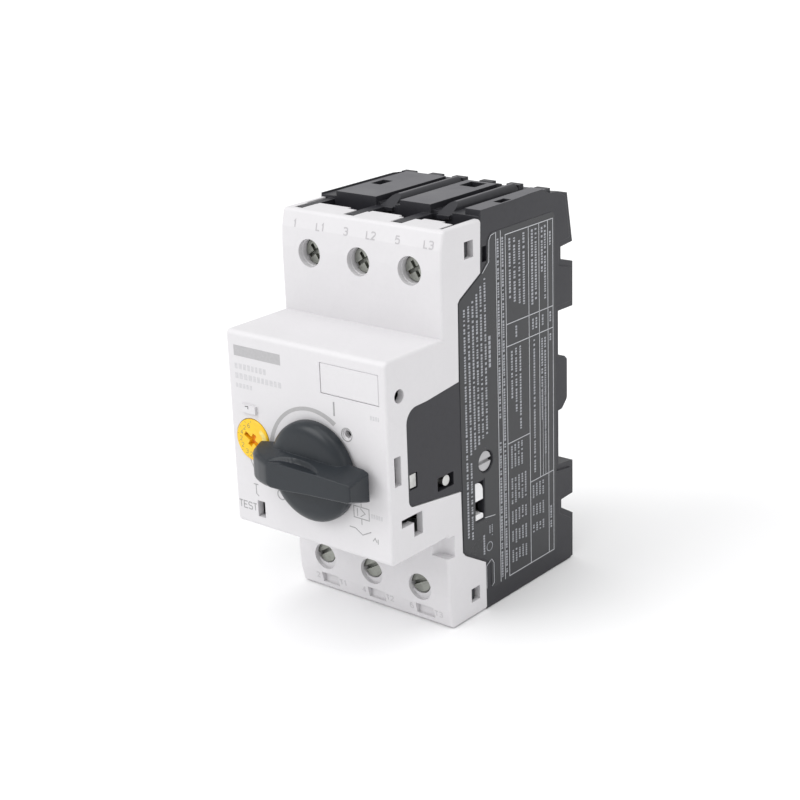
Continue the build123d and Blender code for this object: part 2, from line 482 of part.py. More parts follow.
# ---------------------------------------------------------------------------
# Poles: terminal bars, fixed contacts, arc chutes, magnets, bimetals.
# ---------------------------------------------------------------------------
for i, x in enumerate(POLES):
    n = i + 1
    # line bar: clamp plate, run to the rear, drop to the fixed contact
    with BuildPart() as line_bar:
        with BuildSketch(Plane.YZ.offset(x - 3.6)) as line_profile:
            with BuildLine():
                Polyline((0.2, 85.2), (0.2, 73.0), (28.0, 73.0), (28.0, 58.0), (17.9, 58.0),
                         (17.9, 56.8), (29.2, 56.8), (29.2, 74.2), (1.4, 74.2), (1.4, 85.2), close=True)
            make_face()
        extrude(amount=7.2)
        rod_y(x, Z_SCREW_TOP, -1.0, 3.0, 2.02, mode=Mode.SUBTRACT)
        box(x - 2.0, x + 2.0, 17.7, 18.9, 55.4, 58.6)
        rod_y(x, 57.0, 17.45, 17.8, 1.7)
    save(line_bar, f"line_bar_{n}")

    with BuildPart() as load_bar:
        with BuildSketch(Plane.YZ.offset(x - 3.6)) as load_profile:
            with BuildLine():
                Polyline((0.2, 5.2), (0.2, 15.4), (9.0, 15.4), (9.0, 17.6), (10.2, 17.6), (10.2, 14.2),
                         (1.4, 14.2), (1.4, 5.2), close=True)
            make_face()
        extrude(amount=7.2)
        rod_y(x + LOW_DX, Z_SCREW_LOW + LOW_DZ, -1.0, 3.0, 2.02, mode=Mode.SUBTRACT)
    save(load_bar, f"load_bar_{n}")

    with BuildPart() as arc_chute:
        for z in (60.6, 62.6, 64.6, 66.6, 68.6, 70.6):
            box(x - 4.6, x + 4.6, 17.0, 27.4, z, z + 0.9)
            box(x - 1.6, x + 1.6, 16.5, 20.5, z - 0.1, z + 1.0, mode=Mode.SUBTRACT)
        box(x - 5.3, x - 4.6, 17.0, 27.4, 60.0, 72.1)
        box(x + 4.6, x + 5.3, 17.0, 27.4, 60.0, 72.1)
    save(arc_chute, f"arc_chute_{n}")

    with BuildPart() as magnet_coil:
        with BuildSketch(Plane.XY) as coil_half:
            with BuildLine():
                pts = [(3.0, 0.0), (3.0, 12.0), (5.0, 12.0)]
                for k in range(5, 0, -1):
                    pts += [(5.0, k * 2.35 - 0.25), (4.2, k * 2.35 - 0.4), (4.2, k * 2.35 - 0.65), (5.0, k * 2.35 - 0.8)]
                pts += [(5.0, 0.0)]
                Polyline(*pts, close=True)
            make_face()
        revolve(axis=Axis.Y)
        coil_here = magnet_coil.part
    with BuildPart() as magnet_coil:
        with Locations(Location((x, 12.4, 26.6))):
            add(coil_here)
    save(magnet_coil, f"magnet_coil_{n}")

    with BuildPart() as magnet_yoke:
        box(x - 4.6, x + 4.6, 11.0, 12.2, 19.6, 31.0)
        box(x - 4.6, x + 4.6, 24.6, 25.8, 19.6, 31.0)
        box(x - 4.6, x + 4.6, 11.0, 25.8, 19.6, 20.9)
        rod_y(x, 26.6, 10.0, 13.0, 2.7, mode=Mode.SUBTRACT)
    save(magnet_yoke, f"magnet_yoke_{n}")

    with BuildPart() as magnet_plunger:
        rod_y(x, 26.6, 10.4, 21.0, 2.4)
        rod_y(x, 26.6, 6.6, 10.5, 0.9)
    save(magnet_plunger, f"magnet_plunger_{n}")

    with BuildPart() as bimetal:
        box(x + 2.2, x + 4.8, 6.0, 6.7, 15.5, 40.0)
        for z in (18.2, 20.4, 22.6, 24.8):
            box(x + 1.7, x + 5.3, 5.5, 7.2, z, z + 1.4)
        box(x + 1.2, x + 5.6, 5.9, 8.8, 15.5, 16.9)
    save(bimetal, f"bimetal_{n}")

with BuildPart() as load_contacts:
    for x in POLES:
        with BuildSketch(Plane.YZ.offset(x - 2.4)):
            with BuildLine():
                Polyline((17.7, 35.4), (17.7, 38.6), (18.9, 38.6), (18.9, 34.2), (27.6, 34.2),
                         (27.6, 26.0), (26.4, 26.0), (26.4, 33.0), (17.7, 33.0), close=True)
            make_face()
        extrude(amount=4.8)
        rod_y(x, 37.0, 17.45, 17.8, 1.7)
save(load_contacts, "load_contacts")

# ---------------------------------------------------------------------------
# Trip shaft across the poles, with its bar, and the two flank slides.
# ---------------------------------------------------------------------------
with BuildPart() as trip_shaft:
    rod_x(TRIP_Y, TRIP_Z, -21.3, 21.0, 1.4)
    rod_x(TRIP_Y, TRIP_Z, 20.9, 22.1, 2.3)
    box(21.3, 23.0, TRIP_Y - 3.0, TRIP_Y + 3.0, TRIP_Z - 0.45, TRIP_Z + 0.45, mode=Mode.SUBTRACT)
save(trip_shaft, "trip_shaft")

with BuildPart() as trip_bar:
    box(-18.0, 18.8, 1.0, 5.0, 33.4, 38.2)
    for x in POLES:
        box(x - 1.6, x + 1.6, 3.0, 4.2, 25.2, 33.5)
        box(x + 2.2, x + 4.8, 3.0, 4.2, 37.9, 41.8)
    rod_x(TRIP_Y, TRIP_Z, -19.0, 20.0, 1.41, mode=Mode.SUBTRACT)
save(trip_bar, "trip_bar")

with BuildPart() as aux_drive_slide:
    with BuildSketch(Plane.YZ.offset(20.3)) as d_profile:
        with BuildLine():
            Polyline((-0.85, 27.2), (2.05, 27.2), (2.05, 31.5), (-0.85, 31.5), close=True)
        make_face()
        fillet(near(d_profile.vertices(), [(2.05, 31.5)]), 2.3)
        fillet(near(d_profile.vertices(), [(-0.85, 31.5)]), 0.4)
    extrude(amount=1.9)
    box(18.2, 20.35, -0.85, 1.2, 27.2, 31.0)
save(aux_drive_slide, "aux_drive_slide")

with BuildPart() as trip_flag:
    with BuildSketch(Plane.YZ.offset(20.3)) as flag_profile:
        with BuildLine():
            Polyline((-0.85, 22.65), (2.05, 22.65), (2.05, 24.0), (-0.85, 24.0), close=True)
        make_face()
        fillet(near(flag_profile.vertices(), [(2.05, 24.0)]), 0.7)
    extrude(amount=1.9)
    box(18.2, 20.35, -0.85, 1.2, 20.6, 24.0)
save(trip_flag, "trip_flag")

# ---------------------------------------------------------------------------
# Terminal screws and their clamp plates.
# ---------------------------------------------------------------------------
# Each screw stands fully backed out, with its head in the cover's guide.
for row, dx, z, yf, yc, ye, tilt in (
    ("line", 0.0, Z_SCREW_TOP, -9.0, -6.95, 2.9, -35.0),
    ("load", LOW_DX, Z_SCREW_LOW + LOW_DZ, -9.9, -7.85, 2.0, -32.0),
):
    for i, pole_x in enumerate(POLES):
        x = pole_x + dx
        with BuildPart() as terminal_screw:
            rod_y(x, z, yf, yf + 2.0, R_HEAD)
            chamfer(terminal_screw.edges().filter_by(GeomType.CIRCLE).sort_by(Axis.Y)[0], 0.25)
            rod_y(x, z, yf + 1.9, ye, 1.95)
            with Locations(Location((x, yf + 0.4, z), (0, tilt + 2 * i, 0))):
                Box(6.4, 1.6, 0.85, mode=Mode.SUBTRACT)
                if row == "line":
                    Box(0.85, 1.6, 3.8, mode=Mode.SUBTRACT)
        save(terminal_screw, f"{row}_screw_{i + 1}")
        with BuildPart() as clamp_plate:
            box(x - 4.0, x + 4.0, yc, yc + 1.1, z - 3.6, z + 3.6)
            box(x - 4.0, x + 4.0, yc + 1.0, yc + 1.4, z - 0.6, z + 0.6)
            rod_y(x, z, yc - 1.0, yc + 3.0, 2.02, mode=Mode.SUBTRACT)
            chamfer(clamp_plate.edges().filter_by(Axis.Y).group_by(Axis.X)[0], 0.5)
        save(clamp_plate, f"{row}_clamp_{i + 1}")

# ---------------------------------------------------------------------------
# Rail latch and its spring.
# ---------------------------------------------------------------------------
with BuildPart() as rail_latch:
    box(-7.7, 7.7, 33.6, 36.8, 12.4, 25.4)
    box(-6.0, 6.0, 33.6, 35.3, 25.3, 28.3)
    chamfer(rail_latch.edges().filter_by(Axis.X).group_by(Axis.Z)[-1].sort_by(Axis.Y)[-1], 1.2)
    box(-3.0, 3.0, 35.6, 37.5, 14.6, 16.4, mode=Mode.SUBTRACT)
    rod_z(0.0, 35.2, 12.0, 15.0, 1.9, mode=Mode.SUBTRACT)
save(rail_latch, "rail_latch")

with BuildPart() as latch_spring:
    with BuildSketch(Plane.XZ) as lsp:
        with BuildLine():
            pts = [(0.9, 0.0)]
            n = 8
            for i in range(n):
                pts += [(1.6, 0.2 + i * 1.2), (1.6, 0.7 + i * 1.2), (1.2, 0.9 + i * 1.2), (1.2, 1.2 + i * 1.2)]
            pts += [(1.6, 0.2 + n * 1.2), (1.6, 0.5 + n * 1.2), (0.9, 0.5 + n * 1.2)]
            Polyline(*pts, close=True)
        make_face()
    revolve(axis=Axis.Z)
    latch_spring_here = latch_spring.part
with BuildPart() as latch_spring:
    with Locations((0.0, 35.2, 4.65)):
        add(latch_spring_here)
save(latch_spring, "latch_spring")
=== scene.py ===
import bpy
import bmesh
import json
import math
import random
import numpy as np
from mathutils import Matrix, Vector


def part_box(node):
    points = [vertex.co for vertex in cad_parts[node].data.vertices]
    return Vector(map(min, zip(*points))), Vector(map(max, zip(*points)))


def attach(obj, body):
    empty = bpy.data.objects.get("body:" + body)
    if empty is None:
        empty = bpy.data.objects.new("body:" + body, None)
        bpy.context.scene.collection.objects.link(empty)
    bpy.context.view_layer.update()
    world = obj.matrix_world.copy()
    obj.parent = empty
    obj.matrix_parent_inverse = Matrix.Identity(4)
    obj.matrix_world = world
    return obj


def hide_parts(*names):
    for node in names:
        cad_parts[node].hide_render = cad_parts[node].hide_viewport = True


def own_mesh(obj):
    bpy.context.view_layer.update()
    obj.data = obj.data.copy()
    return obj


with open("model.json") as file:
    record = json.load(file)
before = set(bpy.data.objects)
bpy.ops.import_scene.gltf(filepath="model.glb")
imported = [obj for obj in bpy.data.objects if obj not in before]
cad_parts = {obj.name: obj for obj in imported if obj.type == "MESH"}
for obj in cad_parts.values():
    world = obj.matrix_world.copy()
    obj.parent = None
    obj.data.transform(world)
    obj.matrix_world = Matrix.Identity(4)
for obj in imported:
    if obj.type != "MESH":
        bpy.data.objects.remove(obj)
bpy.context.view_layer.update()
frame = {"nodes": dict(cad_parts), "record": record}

MM = 0.001
nodes = frame["nodes"]
scene = bpy.context.scene


# ---------------------------------------------------------------- materials
def new_material(name):
    m = bpy.data.materials.new(name)
    m.use_nodes = True
    t = m.node_tree
    t.nodes.clear()
    out = t.nodes.new("ShaderNodeOutputMaterial")
    bsdf = t.nodes.new("ShaderNodeBsdfPrincipled")
    t.links.new(bsdf.outputs["BSDF"], out.inputs["Surface"])
    return m, t, bsdf


def noise(t, coord, scale, detail=2.0, rough=0.5, stretch=None):
    n = t.nodes.new("ShaderNodeTexNoise")
    n.inputs["Scale"].default_value = scale
    n.inputs["Detail"].default_value = detail
    n.inputs["Roughness"].default_value = rough
    source = coord
    if stretch is not None:
        mp = t.nodes.new("ShaderNodeMapping")
        mp.inputs["Scale"].default_value = stretch
        t.links.new(coord, mp.inputs["Vector"])
        source = mp.outputs["Vector"]
    t.links.new(source, n.inputs["Vector"])
    return n.outputs["Fac"]


def ramp(t, fac, lo, hi, a, b):
    """Maps fac from lo..hi to a..b."""
    n = t.nodes.new("ShaderNodeMapRange")
    n.inputs["From Min"].default_value = lo
    n.inputs["From Max"].default_value = hi
    n.inputs["To Min"].default_value = a
    n.inputs["To Max"].default_value = b
    t.links.new(fac, n.inputs["Value"])
    return n.outputs["Result"]


def mix_color(t, fac, a, b):
    n = t.nodes.new("ShaderNodeMix")
    n.data_type = "RGBA"
    if isinstance(fac, float):
        n.inputs[0].default_value = fac
    else:
        t.links.new(fac, n.inputs[0])
    for socket, v in ((n.inputs[6], a), (n.inputs[7], b)):
        if isinstance(v, tuple):
            socket.default_value = (*v, 1.0)
        else:
            t.links.new(v, socket)
    return n.outputs[2]


def shade(c, k):
    return tuple(min(1.0, x * k) for x in c)


def edge_mask(t, radius, lo, hi):
    """1 along edges, 0 on flats: how far the rounded normal leans from the real one."""
    bev = t.nodes.new("ShaderNodeBevel")
    bev.samples = 4
    bev.inputs["Radius"].default_value = radius
    geo = t.nodes.new("ShaderNodeNewGeometry")
    dot = t.nodes.new("ShaderNodeVectorMath")
    dot.operation = "DOT_PRODUCT"
    t.links.new(bev.outputs["Normal"], dot.inputs[0])
    t.links.new(geo.outputs["Normal"], dot.inputs[1])
    return ramp(t, dot.outputs["Value"], 1.0 - lo, 1.0 - hi, 0.0, 1.0)


def plastic(name, color, rough=0.45, grain=2600.0, depth=0.012, vary=0.03, wear_and_highlight=0.25, wear_and_highlight_color=None,
            round_edge=0.12, specular=0.5, coat=0.0, coat_rough=0.2, blotch=90.0):
    m, t, bsdf = new_material(name)
    tc = t.nodes.new("ShaderNodeTexCoord").outputs["Object"]
    fine = noise(t, tc, grain, 3.0, 0.6)
    wide = noise(t, tc, blotch, 3.0, 0.55)
    speck = noise(t, tc, grain * 0.37, 1.0, 0.5)
    base = mix_color(t, ramp(t, wide, 0.35, 0.65, 0.0, 1.0), shade(color, 1.0 - vary), shade(color, 1.0 + vary))
    base = mix_color(t, ramp(t, speck, 0.45, 0.75, 0.0, 0.5), base, shade(color, 1.0 - 2.2 * vary))
    # lighter edges: partly real edge wear, partly a painted highlight along every edge, broken up by noise
    if wear_and_highlight > 0:
        mask = edge_mask(t, 0.00035, 0.02, 0.35)
        wear_highlight_noise = noise(t, tc, 420.0, 3.0, 0.65)
        gate = t.nodes.new("ShaderNodeMath")
        gate.operation = "MULTIPLY"
        t.links.new(mask, gate.inputs[0])
        t.links.new(ramp(t, wear_highlight_noise, 0.42, 0.62, 0.15 * wear_and_highlight, wear_and_highlight), gate.inputs[1])
        gate.use_clamp = True
        base = mix_color(t, gate.outputs["Value"], base, wear_and_highlight_color or shade(color, 1.25))
    t.links.new(base, bsdf.inputs["Base Color"])
    t.links.new(ramp(t, wide, 0.3, 0.7, rough - 0.05, rough + 0.06), bsdf.inputs["Roughness"])
    bsdf.inputs["Specular IOR Level"].default_value = specular
    if coat:
        bsdf.inputs["Coat Weight"].default_value = coat
        bsdf.inputs["Coat Roughness"].default_value = coat_rough
    bump = t.nodes.new("ShaderNodeBump")
    bump.inputs["Strength"].default_value = 0.35
    bump.inputs["Distance"].default_value = depth * MM
    t.links.new(fine, bump.inputs["Height"])
    if round_edge:
        bev = t.nodes.new("ShaderNodeBevel")
        bev.samples = 4
        bev.inputs["Radius"].default_value = round_edge * MM
        t.links.new(bev.outputs["Normal"], bump.inputs["Normal"])
    t.links.new(bump.outputs["Normal"], bsdf.inputs["Normal"])
    return m


def metal(name, color, rough=0.32, stretch=(1, 1, 14), scale=900.0, vary=0.10, dark=0.35, round_edge=0.10, depth=0.004):
    m, t, bsdf = new_material(name)
    tc = t.nodes.new("ShaderNodeTexCoord").outputs["Object"]
    brush = noise(t, tc, scale, 3.0, 0.6, stretch)
    wide = noise(t, tc, 260.0, 3.0, 0.6)
    base = mix_color(t, ramp(t, brush, 0.3, 0.7, 0.0, 1.0), shade(color, 1.0 - vary), shade(color, 1.0 + vary))
    base = mix_color(t, ramp(t, wide, 0.5, 0.75, 0.0, dark), base, shade(color, 0.45))
    # every edge painted lighter: a painted highlight
    mask = edge_mask(t, 0.0003, 0.02, 0.4)
    base = mix_color(t, ramp(t, mask, 0.0, 1.0, 0.0, 0.45), base, shade(color, 1.45))
    t.links.new(base, bsdf.inputs["Base Color"])
    bsdf.inputs["Metallic"].default_value = 1.0
    t.links.new(ramp(t, brush, 0.3, 0.7, rough - 0.06, rough + 0.1), bsdf.inputs["Roughness"])
    bump = t.nodes.new("ShaderNodeBump")
    bump.inputs["Strength"].default_value = 0.4
    bump.inputs["Distance"].default_value = depth * MM
    t.links.new(brush, bump.inputs["Height"])
    if round_edge:
        bev = t.nodes.new("ShaderNodeBevel")
        bev.samples = 4
        bev.inputs["Radius"].default_value = round_edge * MM
        t.links.new(bev.outputs["Normal"], bump.inputs["Normal"])
    t.links.new(bump.outputs["Normal"], bsdf.inputs["Normal"])
    return m


def ink(name, color, rough=0.5, vary=0.12):
    """Printed ink: slightly uneven cover, a little see-through grain."""
    m, t, bsdf = new_material(name)
    tc = t.nodes.new("ShaderNodeTexCoord").outputs["Object"]
    n = noise(t, tc, 1800.0, 2.0, 0.6)
    base = mix_color(t, ramp(t, n, 0.35, 0.7, 0.0, 1.0), shade(color, 1.0 - vary), shade(color, 1.0 + vary))
    t.links.new(base, bsdf.inputs["Base Color"])
    t.links.new(ramp(t, n, 0.3, 0.7, rough - 0.05, rough + 0.05), bsdf.inputs["Roughness"])
    bump = t.nodes.new("ShaderNodeBump")
    bump.inputs["Strength"].default_value = 0.2
    bump.inputs["Distance"].default_value = 0.004 * MM
    t.links.new(n, bump.inputs["Height"])
    t.links.new(bump.outputs["Normal"], bsdf.inputs["Normal"])
    return m


LIGHT_GREY = (0.655, 0.645, 0.660)
MATS = {
    # lighter copy of the base plastic for the upward pad tops only: painted sheen
    "pad_tops_painted_sheen": plastic("pad_tops_painted_sheen", (0.062, 0.061, 0.072), rough=0.34, depth=0.014, vary=0.08, wear_and_highlight=0.5,
                         wear_and_highlight_color=(0.16, 0.16, 0.17), round_edge=0.18, specular=0.5),
    "cover_plastic": plastic("cover_plastic", LIGHT_GREY, rough=0.47, depth=0.010, vary=0.012, wear_and_highlight=0.35,
                             wear_and_highlight_color=(0.76, 0.755, 0.765), round_edge=0.16, specular=0.45),
    "lid_plastic": plastic("lid_plastic", LIGHT_GREY, rough=0.45, depth=0.010, vary=0.012, wear_and_highlight=0.35,
                           wear_and_highlight_color=(0.76, 0.755, 0.765), round_edge=0.10, specular=0.45),
    "base_plastic": plastic("base_plastic", (0.020, 0.020, 0.025), rough=0.42, depth=0.018, vary=0.10, wear_and_highlight=0.55,
                            wear_and_highlight_color=(0.10, 0.10, 0.11), round_edge=0.18, specular=0.38),
    "label_film": plastic("label_film", (0.017, 0.018, 0.021), rough=0.30, grain=1500.0, depth=0.004, vary=0.10,
                          wear_and_highlight=0.4, wear_and_highlight_color=(0.08, 0.08, 0.085), round_edge=0.0, specular=0.40, coat=0.12,
                          coat_rough=0.18),
    "handle_plastic": plastic("handle_plastic", (0.017, 0.021, 0.026), rough=0.36, depth=0.010, vary=0.06, wear_and_highlight=0.4,
                              wear_and_highlight_color=(0.15, 0.16, 0.17), round_edge=0.08, specular=0.30, coat=0.10,
                              coat_rough=0.20),
    "shaft_plastic": plastic("shaft_plastic", (0.10, 0.10, 0.10), rough=0.5, vary=0.08),
    "dial_plastic": plastic("dial_plastic", (0.90, 0.55, 0.012), rough=0.36, depth=0.006, vary=0.04, wear_and_highlight=0.3,
                            wear_and_highlight_color=(0.95, 0.72, 0.12), round_edge=0.10),
    "natural_plastic": plastic("natural_plastic", (0.45, 0.45, 0.46), rough=0.42, vary=0.04),
    "dark_plastic": plastic("dark_plastic", (0.02, 0.02, 0.021), rough=0.5, vary=0.1),
    "white_plastic": plastic("white_plastic", (0.78, 0.78, 0.79), rough=0.40, vary=0.02),
    "latch_plastic": plastic("latch_plastic", (0.035, 0.035, 0.04), rough=0.45, vary=0.1),
    "zinc_steel": metal("zinc_steel", (0.60, 0.60, 0.585), rough=0.34),
    "screw_steel": metal("screw_steel", (0.33, 0.34, 0.31), rough=0.40, stretch=(3, 14, 3), scale=700.0, dark=0.6),
    "spring_steel": metal("spring_steel", (0.48, 0.48, 0.48), rough=0.30),
    "copper": metal("copper", (0.72, 0.42, 0.26), rough=0.34),
    "clamp_brass": metal("clamp_brass", (0.74, 0.58, 0.30), rough=0.34, dark=0.4),
}
INK_GREY = ink("ink_grey", (0.33, 0.33, 0.335))
INK_DARK = ink("ink_dark", (0.16, 0.16, 0.17))
INK_PALE = ink("ink_pale", (0.56, 0.555, 0.57), vary=0.05)
INK_WHITE = ink("ink_white", (0.56, 0.57, 0.60), rough=0.4)
INK_DIM = ink("ink_dim", (0.34, 0.35, 0.38), rough=0.4)
INK_ORANGE = ink("ink_orange", (0.80, 0.25, 0.01), rough=0.4)
INK_OLIVE = ink("ink_olive", (0.36, 0.30, 0.08), rough=0.5)
INK_CREAM = ink("ink_cream", (0.83, 0.66, 0.18), rough=0.4)

slot_of = {s["node"]: s["material_slot"] for s in frame["record"]["subparts"]}
for name, o in nodes.items():
    o.data.materials.clear()
    o.data.materials.append(MATS[slot_of[name]])

# the tops of the raised pads get a lighter, glossier copy of the base plastic: painted sheen where they face the top
# light
base = nodes["base_housing"].data
base.materials.append(MATS["pad_tops_painted_sheen"])
for poly in base.polygons:
    if poly.normal.z > 0.98 and 0.0918 < poly.center.z < 0.0932 and poly.center.y < 0.0275:
        poly.material_index = 1


# ---------------------------------------------------------------- mesh helpers
def add_mesh(name, verts, faces, material, body, smooth=False):
    me = bpy.data.meshes.new(name)
    me.from_pydata([tuple(v) for v in verts], [], [tuple(f) for f in faces])
    me.validate()
    bm = bmesh.new()
    bm.from_mesh(me)
    bmesh.ops.recalc_face_normals(bm, faces=bm.faces)
    bm.to_mesh(me)
    bm.free()
    me.materials.append(material)
    if smooth:
        me.polygons.foreach_set("use_smooth", [True] * len(me.polygons))
    o = bpy.data.objects.new(name, me)
    scene.collection.objects.link(o)
    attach(o, body)
    return o


class Print:
    """Collects thin closed prisms that lie on a face. at(u, v, h) gives the point in mm."""

    def __init__(self, at, lo, hi):
        self.at, self.lo, self.hi = at, lo, hi
        self.v, self.f = [], []

    def prism(self, loop):
        """A closed prism over a convex or simple loop, given as (u, v) points."""
        n, k = len(loop), len(self.v)
        for h in (self.lo, self.hi):
            self.v += [tuple(c * MM for c in self.at(u, w, h)) for u, w in loop]
        self.f.append(list(range(k, k + n)))
        self.f.append(list(range(k + 2 * n - 1, k + n - 1, -1)))
        for i in range(n):
            j = (i + 1) % n
            self.f.append([k + i, k + n + i, k + n + j, k + j])

    def rect(self, u0, u1, v0, v1):
        self.prism([(u0, v0), (u1, v0), (u1, v1), (u0, v1)])

    def stroke(self, pts, w, close=False):
        """A line of width w along pts, with mitred corners."""
        n = len(pts)
        left, right = [], []
        for i in range(n):
            a = pts[(i - 1) % n] if (close or i > 0) else None
            b = pts[i]
            c = pts[(i + 1) % n] if (close or i < n - 1) else None
            d1 = None if a is None else Vector((b[0] - a[0], b[1] - a[1])).normalized()
            d2 = None if c is None else Vector((c[0] - b[0], c[1] - b[1])).normalized()
            d1 = d1 or d2
            d2 = d2 or d1
            n1, n2 = Vector((-d1.y, d1.x)), Vector((-d2.y, d2.x))
            m = (n1 + n2)
            m = m.normalized() if m.length > 1e-6 else n1
            s = 1.0 / max(0.35, m.dot(n1))
            left.append((b[0] + m.x * s * w / 2, b[1] + m.y * s * w / 2))
            right.append((b[0] - m.x * s * w / 2, b[1] - m.y * s * w / 2))
        k = len(self.v)
        m = n
        for h in (self.lo, self.hi):
            self.v += [tuple(c * MM for c in self.at(u, q, h)) for u, q in left]
            self.v += [tuple(c * MM for c in self.at(u, q, h)) for u, q in right]
        L0, R0, L1, R1 = k, k + m, k + 2 * m, k + 3 * m
        for i in range(n if close else n - 1):
            j = (i + 1) % n
            self.f += [[L0 + i, L0 + j, R0 + j, R0 + i], [L1 + i, R1 + i, R1 + j, L1 + j],
                       [L0 + i, L1 + i, L1 + j, L0 + j], [R0 + i, R0 + j, R1 + j, R1 + i]]
        if not close:
            self.f += [[L0, R0, R1, L1], [L0 + n - 1, L1 + n - 1, R1 + n - 1, R0 + n - 1]]

    def arc(self, cu, cv, r, a0, a1, w, n=48):
        full = abs(a1 - a0) >= 359.9
        count = n if full else n + 1
        pts = [(cu + r * math.cos(math.radians(a0 + (a1 - a0) * i / n)),
                cv + r * math.sin(math.radians(a0 + (a1 - a0) * i / n))) for i in range(count)]
        self.stroke(pts, w, close=full)

    def done(self, name, material, body):
        return add_mesh(name, self.v, self.f, material, body)


# single-line letters on a 4 x 6 grid, for the generic marks
GLYPHS = {
    "T": [[(0, 6), (4, 6)], [(2, 6), (2, 0)]],
    "E": [[(4, 6), (0, 6), (0, 0), (4, 0)], [(0, 3), (3.2, 3)]],
    "S": [[(4, 5.2), (3.2, 6), (0.8, 6), (0, 5.2), (0, 3.9), (0.8, 3.1), (3.2, 2.9), (4, 2.1), (4, 0.8), (3.2, 0), (0.8, 0), (0, 0.8)]],
    "L": [[(0, 6), (0, 0), (3.6, 0)]],
    "1": [[(1.0, 4.8), (2.2, 6), (2.2, 0)]],
    "2": [[(0, 5), (0.8, 6), (3.2, 6), (4, 5), (4, 3.9), (0, 0), (4, 0)]],
    "3": [[(0, 5.4), (0.8, 6), (3.2, 6), (4, 5.2), (4, 3.8), (3.2, 3.1), (1.6, 3.1)], [(3.2, 3.1), (4, 2.4), (4, 0.8), (3.2, 0), (0.8, 0), (0, 0.7)]],
    "4": [[(3, 0), (3, 6), (0, 1.9), (4, 1.9)]],
    "5": [[(3.8, 6), (0.4, 6), (0.1, 3.3), (0.9, 3.8), (3.0, 3.8), (4, 2.9), (4, 0.9), (3.0, 0), (0.8, 0), (0, 0.7)]],
    "6": [[(3.6, 6), (1.6, 6), (0.2, 4.2), (0, 2), (0.6, 0.4), (1.6, 0), (3.2, 0), (4, 1), (4, 2.5), (3.2, 3.4), (1.2, 3.4), (0.2, 2.6)]],
    "8": [[(0.8, 3.2), (0, 4), (0, 5.2), (0.8, 6), (3.2, 6), (4, 5.2), (4, 4), (3.2, 3.2), (0.8, 3.2), (0, 2.3), (0, 0.9), (0.8, 0), (3.2, 0), (4, 0.9), (4, 2.3), (3.2, 3.2)]],
    "0": [[(0.8, 0), (3.2, 0), (4, 1.2), (4, 4.8), (3.2, 6), (0.8, 6), (0, 4.8), (0, 1.2), (0.8, 0.01)]],
    "I": [[(2, 0), (2, 6)]],
}


def letters(p, text, u, v, height, weight, angle=0.0, gap=1.9):
    """Writes generic marks from GLYPHS, lower left corner at (u, v)."""
    s = height / 6.0
    ca, sa = math.cos(math.radians(angle)), math.sin(math.radians(angle))
    x = 0.0
    for ch in text:
        if ch == " ":
            x += 4 * s
            continue
        for line in GLYPHS[ch]:
            pts = [(u + (x + a * s) * ca - b * s * sa, v + (x + a * s) * sa + b * s * ca) for a, b in line]
            p.stroke(pts, weight)
        x += (4 + gap) * s


# ---------------------------------------------------------------- front print
Y_BUMP = -30.1


def on_front(u, v, h):
    return (u, Y_BUMP - h, v)


KX, KZ = 2.6, 40.4

# grey sweep round the handle, from 'off' over the top to 'on': a crescent that narrows to the right
ring = Print(on_front, -0.012, 0.022)
outer_c, outer_r, inner_c, inner_r = (1.53, 41.17), 12.88, (1.26, 41.71), 11.44


def arc_point(c, r, a):
    return (c[0] + r * math.cos(math.radians(a)), c[1] + r * math.sin(math.radians(a)))


out_pts = [arc_point(outer_c, outer_r, a) for a in np.linspace(176, 57, 60)]
in_pts = [arc_point(inner_c, inner_r, a) for a in np.linspace(178.5, 55.5, 60)]
k = len(ring.v)
for h in (ring.lo, ring.hi):
    ring.v += [tuple(c * MM for c in on_front(u, v, h)) for u, v in out_pts]
    ring.v += [tuple(c * MM for c in on_front(u, v, h)) for u, v in in_pts]
n = 60
for i in range(n - 1):
    a0, b0, a1, b1 = k + i, k + n + i, k + 2 * n + i, k + 3 * n + i
    ring.f += [[a0, a0 + 1, b0 + 1, b0], [a1, b1, b1 + 1, a1 + 1], [a0, a1, a1 + 1, a0 + 1], [b0, b0 + 1, b1 + 1, b1]]
ring.f += [[k, k + n, k + 3 * n, k + 2 * n], [k + n - 1, k + 3 * n - 1, k + 4 * n - 1, k + 2 * n - 1]]
ring.done("print_handle_sweep", ink("ink_sweep", (0.40, 0.395, 0.40), vary=0.04), "housing")

marks = Print(on_front, -0.012, 0.022)
marks.stroke([(8.15, 53.5), (8.15, 56.6)], 0.42)                       # I
marks.arc(-8.5, 31.9, 1.15, 0, 360, 0.30, 32)                          # O
letters(marks, "TEST", -21.75, 26.15, 1.62, 0.24, gap=1.3)
marks.stroke([(-16.9, 32.6), (-15.5, 32.6)], 0.24)                     # small off mark by the slot
marks.stroke([(-16.2, 32.6), (-16.2, 30.4), (-15.5, 29.9)], 0.24)
marks.stroke([(-17.3, 38.2), (-16.6, 36.7), (-16.6, 37.4)], 0.2)
# symbol box with an arrow, and the line through it
marks.stroke([(12.4, 31.8), (16.6, 31.8), (16.6, 34.4), (12.4, 34.4)], 0.2, close=True)
marks.stroke([(13.4, 34.0), (13.4, 32.2)], 0.2)
marks.stroke([(14.2, 34.1), (15.5, 33.1), (14.2, 32.2)], 0.2)
marks.stroke([(14.5, 31.7), (14.5, 30.4)], 0.2)
marks.stroke([(14.5, 34.5), (14.5, 35.2)], 0.2)
# contact line
marks.stroke([(11.0, 29.3), (12.6, 29.3), (14.6, 28.1), (17.0, 29.3)], 0.22)
marks.stroke([(17.4, 27.4), (18.0, 28.2), (18.5, 27.3)], 0.2)
marks.stroke([(18.8, 28.1), (18.8, 27.0)], 0.2)
marks.done("print_front_marks", INK_GREY, "housing")

